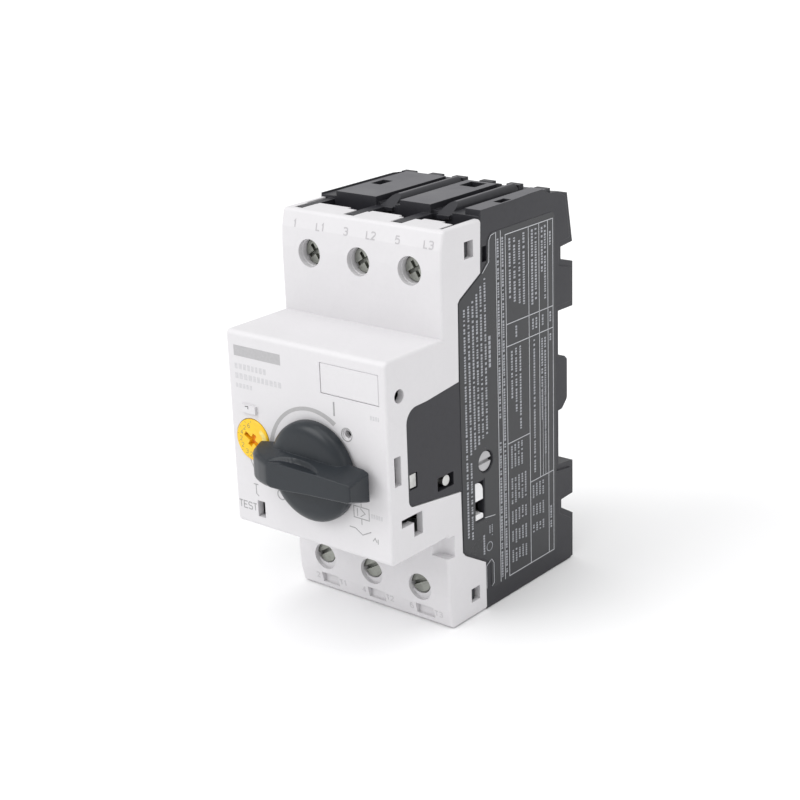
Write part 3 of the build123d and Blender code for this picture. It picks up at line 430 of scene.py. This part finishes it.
pale = Print(on_front, -0.012, 0.022)
rng = random.Random(7)


def greek_row(p, u0, u1, v, h, rng, w=(0.35, 0.75), gap=0.28, word=0.16):
    """A row of plain blocks along u, standing in for small print."""
    u = u0
    while u < u1 - w[0]:
        d = min(rng.uniform(*w), u1 - u)
        p.rect(u, u + d, v, v + h * 0.85)
        u += d + gap + (0.5 if rng.random() < word else 0.0)


# plain bars in place of the maker's block, the model lines and the rating text
bars = Print(on_front, -0.012, 0.022)
bars.rect(-20.3, -6.6, 61.9, 64.3)
bars.done("print_plain_block", ink("ink_block", (0.42, 0.415, 0.425), vary=0.04), "housing")
greek_row(pale, -20.3, -11.0, 58.9, 1.5, rng, (0.7, 1.0), 0.42, 0.0)
greek_row(pale, -20.3, -6.4, 56.7, 1.5, rng, (0.7, 1.0), 0.42, 0.0)
greek_row(pale, -20.3, -15.5, 54.6, 1.2, rng, (0.6, 0.8), 0.34, 0.0)
greek_row(pale, 18.0, 20.4, 54.6, 1.1, rng, (0.35, 0.5), 0.22, 0.0)
greek_row(pale, 17.2, 20.4, 32.6, 1.1, rng, (0.35, 0.5), 0.22, 0.0)
pale.done("print_plain_rows", INK_PALE, "housing")

# ring round the sealing hole
seal = Print(on_front, -0.012, 0.03)
seal.arc(11.4, 50.0, 1.44, 0, 360, 0.22, 36)
seal.done("print_seal_ring", INK_GREY, "housing")

# arrow on the pointer nub over the dial
nub = Print(lambda u, v, h: (u, -30.75 - h, v), -0.012, 0.02)
nub.stroke([(-17.4, 50.8), (-16.5, 50.9), (-16.5, 50.3)], 0.24)
nub.done("print_nub_arrow", INK_DARK, "housing")

# numbers raised from the cover, in its own colour, above the upper terminals and below the lower ones; here painted
# darker than the cover as painted shade
upper = Print(lambda u, v, h: (u, -10.9 + (v - 86.5) * 0.256 - h, v), -0.02, 0.05)
lower = Print(lambda u, v, h: (u, -10.9 + (4.0 - v) * 0.225 - h, v), -0.02, 0.05)
for text, u in (("1", -18.8), ("L1", -12.0), ("3", -4.1), ("L2", 2.3), ("5", 10.3), ("L3", 17.9)):
    letters(upper, text, u, 86.6, 1.5, 0.26, gap=1.4)
for text, u in (("2", -17.5), ("T1", -10.3), ("4", -3.4), ("T2", 3.75), ("6", 10.7), ("T3", 17.85)):
    letters(lower, text, u, 2.3, 1.3, 0.22, gap=1.4)
# both number sets are painted darker than the cover: painted shade of the raised numbers
lower.done("mark_lower_terminals", ink("lower_numbers_painted_shade", (0.52, 0.51, 0.525), vary=0.03), "housing")
upper.done("mark_upper_terminals", ink("raised_numbers_painted_shade", (0.46, 0.45, 0.465), vary=0.03), "housing")


# ---------------------------------------------------------------- side label print
def on_label(u, v, h):
    """u is y, v is z, on the printed film of the right flank."""
    return (22.46 + h, u, v)


lines = Print(on_label, -0.01, 0.022)
LW = 0.16
Y_L, Y_R, Z_B, Z_T = 11.4, 29.4, 4.8, 85.3
lines.stroke([(Y_L, Z_B), (Y_R, Z_B), (Y_R, Z_T), (Y_L, Z_T)], LW, close=True)
for y, z0, z1 in ((20.0, Z_B, Z_T), (24.0, 25.1, Z_T), (27.4, Z_B, Z_T)):
    lines.stroke([(y, z0), (y, z1)], LW)
lines.stroke([(8.0, 4.6), (8.0, 86.6)], LW)
lines.stroke([(9.7, 4.6), (9.7, 86.6)], LW)
for z in (65.1, 60.0):
    lines.stroke([(Y_L, z), (Y_R, z)], LW)
lines.stroke([(Y_L, 37.2), (20.0, 37.2)], LW)
lines.stroke([(20.0, 25.1), (Y_R, 25.1)], LW)
for y in (25.2, 26.2):
    lines.stroke([(y, 25.1), (y, 48.0)], 0.10)
# rounded outline at the front edge, top and bottom
lines.stroke([(7.6, 86.5), (6.2, 86.2), (5.55, 85.3), (5.35, 80.6), (3.0, 78.6)], 0.13)
lines.stroke([(6.2, 21.9), (2.3, 22.5)], 0.13)
lines.stroke([(2.6, 5.0), (2.6, 10.6), (4.6, 11.6), (5.4, 10.4), (5.4, 5.4), (4.6, 4.9)], 0.12)
lines.done("print_label_table", INK_WHITE, "housing")

small = Print(on_label, -0.01, 0.022)


def greek_column(p, y, z0, z1, h, rng, w=(0.26, 0.6), gap=0.22, word=0.2, thin=False):
    """Plain blocks of one height that run down a column, in place of small print."""
    z = z1
    while z > z0 + w[0]:
        d = min(rng.uniform(*w), z - z0)
        p.rect(y, y + h * (0.85 if thin else 0.62), z - d, z)
        z -= d + gap + (0.42 if rng.random() < word else 0.0)


rng = random.Random(21)
# narrow band between the two long lines and beside them
greek_column(small, 8.35, 44.0, 85.0, 0.95, rng)
greek_column(small, 10.05, 5.4, 85.0, 0.95, rng)
greek_column(small, 8.35, 5.4, 38.5, 0.95, rng)
# top cell
greek_column(small, 12.6, 70.5, 84.2, 1.05, rng)
greek_column(small, 14.3, 69.5, 84.0, 1.15, rng)
greek_column(small, 16.2, 68.8, 83.0, 1.0, rng)
greek_column(small, 17.8, 68.0, 84.4, 1.15, rng)
greek_column(small, 21.0, 67.0, 84.4, 1.1, rng)
greek_column(small, 22.4, 68.0, 84.4, 1.1, rng)
greek_column(small, 24.8, 74.0, 84.2, 1.0, rng)
greek_column(small, 26.0, 67.5, 84.4, 1.0, rng)
greek_column(small, 28.0, 79.5, 82.6, 0.9, rng)
# narrow row
for y in (14.8, 21.2, 22.5, 25.0, 28.0):
    greek_column(small, y, 61.4, 64.0, 0.95, rng)
# main cell
for y, z0, z1 in ((13.0, 47.5, 58.6), (14.6, 44.0, 58.9), (16.2, 39.0, 59.0), (21.6, 27.0, 59.0), (24.7, 39.0, 58.5),
                  (25.9, 30.0, 58.5), (28.0, 57.0, 58.8)):
    greek_column(small, y, z0, z1, 0.95, rng)
# number table at the bottom
for k2, y in enumerate((12.6, 13.9, 15.2, 16.5, 17.8)):
    for z1, z0 in ((36.6, 30.4), (28.6, 22.0), (20.6, 17.0), (15.6, 12.0), (10.8, 7.2)):
        if (k2 == 4 and z1 > 30):
            continue
        greek_column(small, y, z0 + rng.uniform(0, 0.5), z1 - rng.uniform(0, 0.4), 0.85, rng, (0.25, 0.45), 0.2, 0.1)
for y in (20.9, 22.2, 23.5, 24.8):
    for z1, z0 in ((24.2, 20.6), (19.0, 15.8), (14.4, 11.6)):
        greek_column(small, y, z0 + rng.uniform(0, 0.4), z1 - rng.uniform(0, 0.4), 0.85, rng, (0.25, 0.45), 0.2, 0.1)
greek_column(small, 28.0, 10.5, 16.5, 0.9, rng)
# block beside the cover
for y, z0, z1 in ((3.4, 42.0, 77.4), (1.9, 41.0, 76.0), (0.45, 40.2, 74.6), (-1.0, 39.4, 73.4), (-2.5, 38.5, 72.6),
                  (-4.0, 5.0 + 14.6, 72.2)):
    greek_column(small, y, z0, z1, 0.95, rng)
greek_column(small, -2.5, 18.6, 37.0, 0.9, rng)
# short heading, heavier
greek_column(small, 4.75, 56.2, 64.2, 1.2, rng, (0.7, 0.95), 0.24, 0.0)
# small bars under the slot
greek_column(small, 3.9, 17.6, 20.0, 0.6, rng, (0.2, 0.3), 0.14)
greek_column(small, 4.8, 17.2, 20.0, 0.5, rng, (0.2, 0.3), 0.14)
greek_column(small, 1.6, 13.2, 18.4, 0.9, rng, (0.4, 0.5), 0.16, 0.0)
small.arc(3.9, 15.0, 1.05, 0, 360, 0.16, 28)
small.done("print_label_rows", INK_DIM, "housing")

# ---------------------------------------------------------------- handle
def rounded_loop(poly, radii, n_arc=7):
    """Polygon with rounded corners as a list of points. Counter-clockwise or clockwise."""
    out = []
    m = len(poly)
    for i in range(m):
        p0, p1, p2 = Vector(poly[(i - 1) % m]), Vector(poly[i]), Vector(poly[(i + 1) % m])
        d0, d2 = (p0 - p1), (p2 - p1)
        l0, l2 = d0.length, d2.length
        d0.normalize(), d2.normalize()
        ang = math.acos(max(-1, min(1, d0.dot(d2))))
        r = radii[i]
        t = min(r / math.tan(ang / 2), 0.49 * l0, 0.49 * l2)
        a, b = p1 + d0 * t, p1 + d2 * t
        for j in range(n_arc):
            s = j / (n_arc - 1)
            q = (1 - s) ** 2 * a + 2 * s * (1 - s) * p1 + s ** 2 * b
            out.append((q.x, q.y))
    return out


def resample(loop, n):
    """n points evenly along a closed loop, starting at its first point."""
    pts = np.array(loop + [loop[0]])
    seg = np.hypot(*np.diff(pts, axis=0).T)
    s = np.concatenate([[0], np.cumsum(seg)])
    at = np.linspace(0, s[-1], n, endpoint=False)
    return np.stack([np.interp(at, s, pts[:, 0]), np.interp(at, s, pts[:, 1])], 1)


def lathe(profile, cx, cz, n=160):
    """Closed solid turned about the Y axis through (cx, cz). profile is (r, y), from axis to axis."""
    verts, faces = [], []
    rings = []
    for r, y in profile:
        if r < 1e-9:
            rings.append([len(verts)])
            verts.append((cx * MM, y * MM, cz * MM))
        else:
            rings.append(list(range(len(verts), len(verts) + n)))
            for i in range(n):
                a = 2 * math.pi * i / n
                verts.append(((cx + r * math.cos(a)) * MM, y * MM, (cz + r * math.sin(a)) * MM))
    for a, b in zip(rings[:-1], rings[1:]):
        if len(a) == 1 and len(b) == 1:
            continue
        for i in range(n):
            j = (i + 1) % n
            if len(a) == 1:
                faces.append([a[0], b[i], b[j]])
            elif len(b) == 1:
                faces.append([a[i], a[j], b[0]])
            else:
                faces.append([a[i], a[j], b[j], b[i]])
    return verts, faces


Y0, YF = -30.6, -34.1      # underside and flat of the disc
R = 11.25
prof = [(0, -28.2), (3.7, -28.2), (3.7, Y0), (10.9, Y0), (R - 0.05, Y0 - 0.08), (R, Y0 - 0.3), (R, Y0 - 0.75)]
for i in range(1, 15):     # rolled shoulder
    a = math.pi / 2 * i / 14
    prof.append((R - 3.3 * (1 - math.cos(a)) ** 1.15, Y0 - 0.75 - 2.63 * math.sin(a) ** 0.92))
prof += [(R - 4.2, YF + 0.03), (R - 5.2, YF), (0, YF)]
dv, df = lathe(prof, KX, KZ)
disc = add_mesh("rotary_handle_fine", dv, df, MATS["handle_plastic"], "handle", smooth=True)

# grip: rings that go from the foot, inside the disc, to the front face
FOOT = [(-13.6, KZ - 3.7), (-13.6, KZ + 2.4), (-12.0, KZ + 3.9), (-6.0, KZ + 4.9), (8.0, KZ + 4.5), (17.2, KZ + 3.7),
        (18.5, KZ + 3.2), (18.5, KZ - 3.2), (17.2, KZ - 3.7), (8.0, KZ - 4.4), (-6.0, KZ - 5.0), (-12.0, KZ - 4.75)]
FRONT = [(-5.3, KZ - 2.7), (-5.3, KZ + 1.8), (-4.5, KZ + 2.45), (-1.0, KZ + 2.7), (8.0, KZ + 2.65), (17.6, KZ + 2.35),
         (18.5, KZ + 1.9), (18.5, KZ - 1.2), (17.6, KZ - 1.7), (8.0, KZ - 2.3), (-1.0, KZ - 3.15), (-4.5, KZ - 3.2)]
RAD = [0.9, 0.9, 1.3, 3.0, 6.0, 0.8, 0.35, 0.35, 0.8, 6.0, 3.0, 1.3]
LEFT = {0, 1, 2, 11}
END_Y = [-38.0, -37.6, -36.9, -36.0, -35.2, -34.5, -33.6, -32.6, -31.9]
END_X = [-5.2, -6.4, -8.3, -10.3, -11.4, -12.1, -12.75, -13.1, -13.3]
NL = 300


def ring_at(k, y, inset=0.0):
    """Outline of the grip at depth y: k goes from the foot to the front, and the left end bulges."""
    end = float(np.interp(-y, [-v for v in END_Y][::-1], END_X[::-1]))
    loop = []
    for i, (p, q) in enumerate(zip(FOOT, FRONT)):
        u, v = (1 - k) * p[0] + k * q[0], (1 - k) * p[1] + k * q[1]
        if i in (0, 1):
            u = end
        elif i in (2, 11):
            u = end + 1.3
        loop.append((u, v))
    pts = resample(rounded_loop(loop, RAD), NL)
    if inset:
        c = pts.mean(0)
        nrm = np.roll(pts, -1, 0) - np.roll(pts, 1, 0)
        nrm = np.stack([nrm[:, 1], -nrm[:, 0]], 1)
        nrm /= np.maximum(np.hypot(*nrm.T), 1e-9)[:, None]
        side = np.sign(((pts - c) * nrm).sum(1).mean())
        pts = pts - nrm * inset * side
    return pts


def depth_of(k):
    return -31.9 + (-38.0 + 31.9) * k


levels = []
for k2 in np.linspace(0.0, 0.955, 40):
    levels.append((k2, 0.0, depth_of(k2)))
for i in range(1, 6):      # rounded front edge, 0.27 mm
    a = math.pi / 2 * i / 5
    levels.append((0.955 + 0.045 * math.sin(a), 0.27 * (1 - math.cos(a)), depth_of(0.955) + (-38.0 - depth_of(0.955)) * math.sin(a)))
gv, gf = [], []
for k2, inset, y in levels:
    pts = ring_at(k2, y, inset)
    for u, v in pts:
        # thumb and finger scoops: behind the straight front edge the flank stays low, up to a curved wall
        side = 1 if v > KZ else -1
        cx0, half, reach = (2.1, 7.3, 2.75) if side > 0 else (1.0, 7.0, 2.4)
        e = 1.0 - ((u - cx0) / half) ** 2
        cut = 0.0
        if e > 0 and (v - KZ) * side > 1.9:
            wall = -38.0 + reach * e ** 0.6
            back_by = y + 38.0
            t = min(1.0, max(0.0, (wall + 0.25 - y) / 0.5))
            t = t * t * (3 - 2 * t)
            cut = 0.36 * max(0.0, back_by) * t * min(1.0, e * 6.0)
        gv.append((u * MM, y * MM, (v - cut * side) * MM))
nl = len(levels)
for j in range(nl - 1):
    for i in range(NL):
        i2 = (i + 1) % NL
        gf.append([j * NL + i, j * NL + i2, (j + 1) * NL + i2, (j + 1) * NL + i])
# caps: concentric rings towards the middle line, so that the faces stay even
def cap(start, y_mid, dish):
    base = np.array([gv[start + i] for i in range(NL)])
    mid = base.mean(0)
    prev = start
    for s in (0.12, 0.3, 0.55, 0.8):
        row = len(gv)
        for i in range(NL):
            x = base[i, 0] * (1 - s * 0.55) + mid[0] * s * 0.55
            z = base[i, 2] * (1 - s) + mid[2] * s
            gv.append((x, base[i, 1] + dish * s * MM, z))
        for i in range(NL):
            i2 = (i + 1) % NL
            gf.append([prev + i, prev + i2, row + i2, row + i])
        prev = row
    gf.append([prev + i for i in range(NL)])


cap(0, 0, 0.0)
cap((nl - 1) * NL, 0, 0.0)
grip = add_mesh("rotary_handle_grip_form", gv, gf, MATS["handle_plastic"], "handle", smooth=True)

boo = disc.modifiers.new("join", "BOOLEAN")
boo.operation = "UNION"
boo.solver = "EXACT"
boo.object = grip
bpy.context.view_layer.update()
dg = bpy.context.evaluated_depsgraph_get()
joined = bpy.data.meshes.new_from_object(disc.evaluated_get(dg))
disc.modifiers.clear()
disc.data = joined
bpy.data.objects.remove(grip)
bm = bmesh.new()
bm.from_mesh(joined)
bmesh.ops.remove_doubles(bm, verts=bm.verts, dist=1e-7)
for e in bm.edges:
    e.smooth = len(e.link_faces) == 2 and e.calc_face_angle(0.0) < math.radians(28)
for f in bm.faces:
    f.smooth = True
bm.to_mesh(joined)
bm.free()
if not joined.materials:
    joined.materials.append(MATS["handle_plastic"])
disc.name = "rotary_handle_fine"
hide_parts("rotary_handle")

# ---------------------------------------------------------------- dial
DX, DZ = -16.1, 43.1


def on_dial(u, v, h):
    return (DX + u, -30.45 - h, DZ + v)


dialp = Print(on_dial, -0.012, 0.02)
for k2, (text, a) in enumerate((("2", 208), ("2", 182), ("4", 156), ("2", 130), ("6", 104), ("3", 238), ("2", 262))):
    r = 3.35
    u, v = r * math.cos(math.radians(a)), r * math.sin(math.radians(a))
    letters(dialp, text, u - 0.35, v - 0.5, 0.95, 0.15)
for a in (92, 116, 142, 168, 194, 222, 250, 275):
    u0, v0 = 4.05 * math.cos(math.radians(a)), 4.05 * math.sin(math.radians(a))
    u1, v1 = 4.42 * math.cos(math.radians(a)), 4.42 * math.sin(math.radians(a))
    dialp.stroke([(u0, v0), (u1, v1)], 0.14)
dialp.done("print_dial_numbers", INK_OLIVE, "dial")
tone = Print(on_dial, -0.012, 0.012)
tone.prism([(2.9, -1.9), (4.2, -0.6), (4.3, 1.1), (3.7, 2.2), (2.7, 2.9), (2.2, 2.2), (3.0, 1.2), (3.2, -0.2)])
tone.done("print_dial_field", INK_CREAM, "dial")

# arrow slot: its floor and walls show orange
cross = Print(lambda u, v, h: (DX + u, -29.40 - h, DZ + v), -0.05, 0.012)
ca, sa = math.cos(math.radians(-31)), math.sin(math.radians(-31))


def turned(u, v):
    return (u * ca - v * sa, u * sa + v * ca)


cross.prism([turned(*p) for p in ((-2.46, -0.51), (-0.51, -0.51), (-0.51, -1.56), (0.51, -1.56), (0.51, -0.51), (2.46, -0.51),
                                  (2.46, 0.51), (0.51, 0.51), (0.51, 1.56), (-0.51, 1.56), (-0.51, 0.51), (-2.46, 0.51))])
cross.done("print_dial_slot", INK_ORANGE, "dial")

# ---------------------------------------------------------------- latch spring as wound wire
def helix(name, cx, cy, z0, z1, r, wire, turns, body, material, n_per=28, n_sec=10):
    total = int(turns * n_per)
    path = []
    for i in range(total + 1):
        f = i / total
        # closed ends: the first and last turn lie flat
        end = 1.0 / turns
        if f < end:
            z = z0 + wire
        elif f > 1 - end:
            z = z1 - wire
        else:
            z = z0 + wire + (z1 - z0 - 2 * wire) * (f - end) / (1 - 2 * end)
        # a wire's own thickness of rise in each end turn
        if f < end:
            z = z0 + wire * (0.5 + 0.5 * f / end)
        elif f > 1 - end:
            z = z1 - wire * (0.5 + 0.5 * (1 - f) / end)
        a = 2 * math.pi * turns * f
        path.append(Vector((cx + r * math.cos(a), cy + r * math.sin(a), z)))
    v, f = [], []
    for i, p in enumerate(path):
        q0, q1 = path[max(0, i - 1)], path[min(len(path) - 1, i + 1)]
        t = (q1 - q0).normalized()
        out = Vector((p.x - cx, p.y - cy, 0)).normalized()
        up = t.cross(out).normalized()
        out = up.cross(t).normalized()
        for s in range(n_sec):
            b = 2 * math.pi * s / n_sec
            w = p + out * (wire / 2 * math.cos(b)) + up * (wire / 2 * math.sin(b))
            v.append((w.x * MM, w.y * MM, w.z * MM))
    m = len(path)
    for i in range(m - 1):
        for s in range(n_sec):
            s2 = (s + 1) % n_sec
            f.append([i * n_sec + s, i * n_sec + s2, (i + 1) * n_sec + s2, (i + 1) * n_sec + s])
    f.append(list(range(n_sec)))
    f.append(list(range(m * n_sec - 1, (m - 1) * n_sec - 1, -1)))
    return add_mesh(name, v, f, material, body, smooth=True)


lo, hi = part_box("latch_spring")
sx, sy = (lo.x + hi.x) / 2 / MM, (lo.y + hi.y) / 2 / MM
spring = helix("latch_spring_wound", sx, sy, lo.z / MM, hi.z / MM, 1.3, 0.42, 8.5, "housing", MATS["spring_steel"])
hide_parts("latch_spring")
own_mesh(spring)

# ---------------------------------------------------------------- stage, lights, camera
def plain(name, color, rough):
    m, t, bsdf = new_material(name)
    tc = t.nodes.new("ShaderNodeTexCoord").outputs["Object"]
    n = noise(t, tc, 6.0, 2.0, 0.5)
    t.links.new(mix_color(t, n, shade(color, 0.995), color), bsdf.inputs["Base Color"])
    bsdf.inputs["Roughness"].default_value = rough
    bsdf.inputs["Specular IOR Level"].default_value = 0.1
    return m


me = bpy.data.meshes.new("floor")
s = 6.0
me.from_pydata([(-s, -s, -0.0002), (s, -s, -0.0002), (s, s, -0.0002), (-s, s, -0.0002)], [], [(0, 1, 2, 3)])
me.materials.append(plain("floor_white", (0.93, 0.93, 0.935), 0.85))
floor = bpy.data.objects.new("floor", me)
scene.collection.objects.link(floor)

world = bpy.data.worlds.new("studio")
scene.world = world
world.use_nodes = True
bg = world.node_tree.nodes["Background"]
bg.inputs["Color"].default_value = (1.0, 1.0, 1.0, 1)
bg.inputs["Strength"].default_value = 0.74


def sun(name, direction, strength, angle):
    """A soft, even light that travels along direction."""
    d = bpy.data.lights.new(name, "SUN")
    d.energy = strength
    d.angle = math.radians(angle)
    o = bpy.data.objects.new(name, d)
    scene.collection.objects.link(o)
    o.rotation_euler = Vector(direction).to_track_quat("-Z", "Y").to_euler()
    o.location = (0, 0, 1)
    return o


sun("key", (0.42, 0.72, -0.62), 1.15, 38)
sun("top", (-0.05, 0.10, -1.0), 0.95, 55)
sun("fill_right", (-0.85, 0.15, -0.35), 0.30, 50)

cam = bpy.data.cameras.new("camera")
cam.sensor_width = 36.0
cam.lens = 75.50
cam.clip_start = 0.001
cam.clip_end = 50.0
co = bpy.data.objects.new("camera", cam)
scene.collection.objects.link(co)
back = Vector((0.6064, -0.7237, 0.3294)).normalized()
right = Vector((0.7665, 0.6422, 0.0)).normalized()
up = back.cross(right).normalized()
roll = math.radians(-2.087)
rx = math.cos(roll) * right + math.sin(roll) * up
ux = -math.sin(roll) * right + math.cos(roll) * up
mat = Matrix((
    (rx.x, ux.x, back.x, 0.22992),
    (rx.y, ux.y, back.y, -0.27329),
    (rx.z, ux.z, back.z, 0.17123),
    (0, 0, 0, 1),
))
co.matrix_world = mat
scene.camera = co
scene.view_settings.view_transform = "Standard"
scene.view_settings.look = "None"
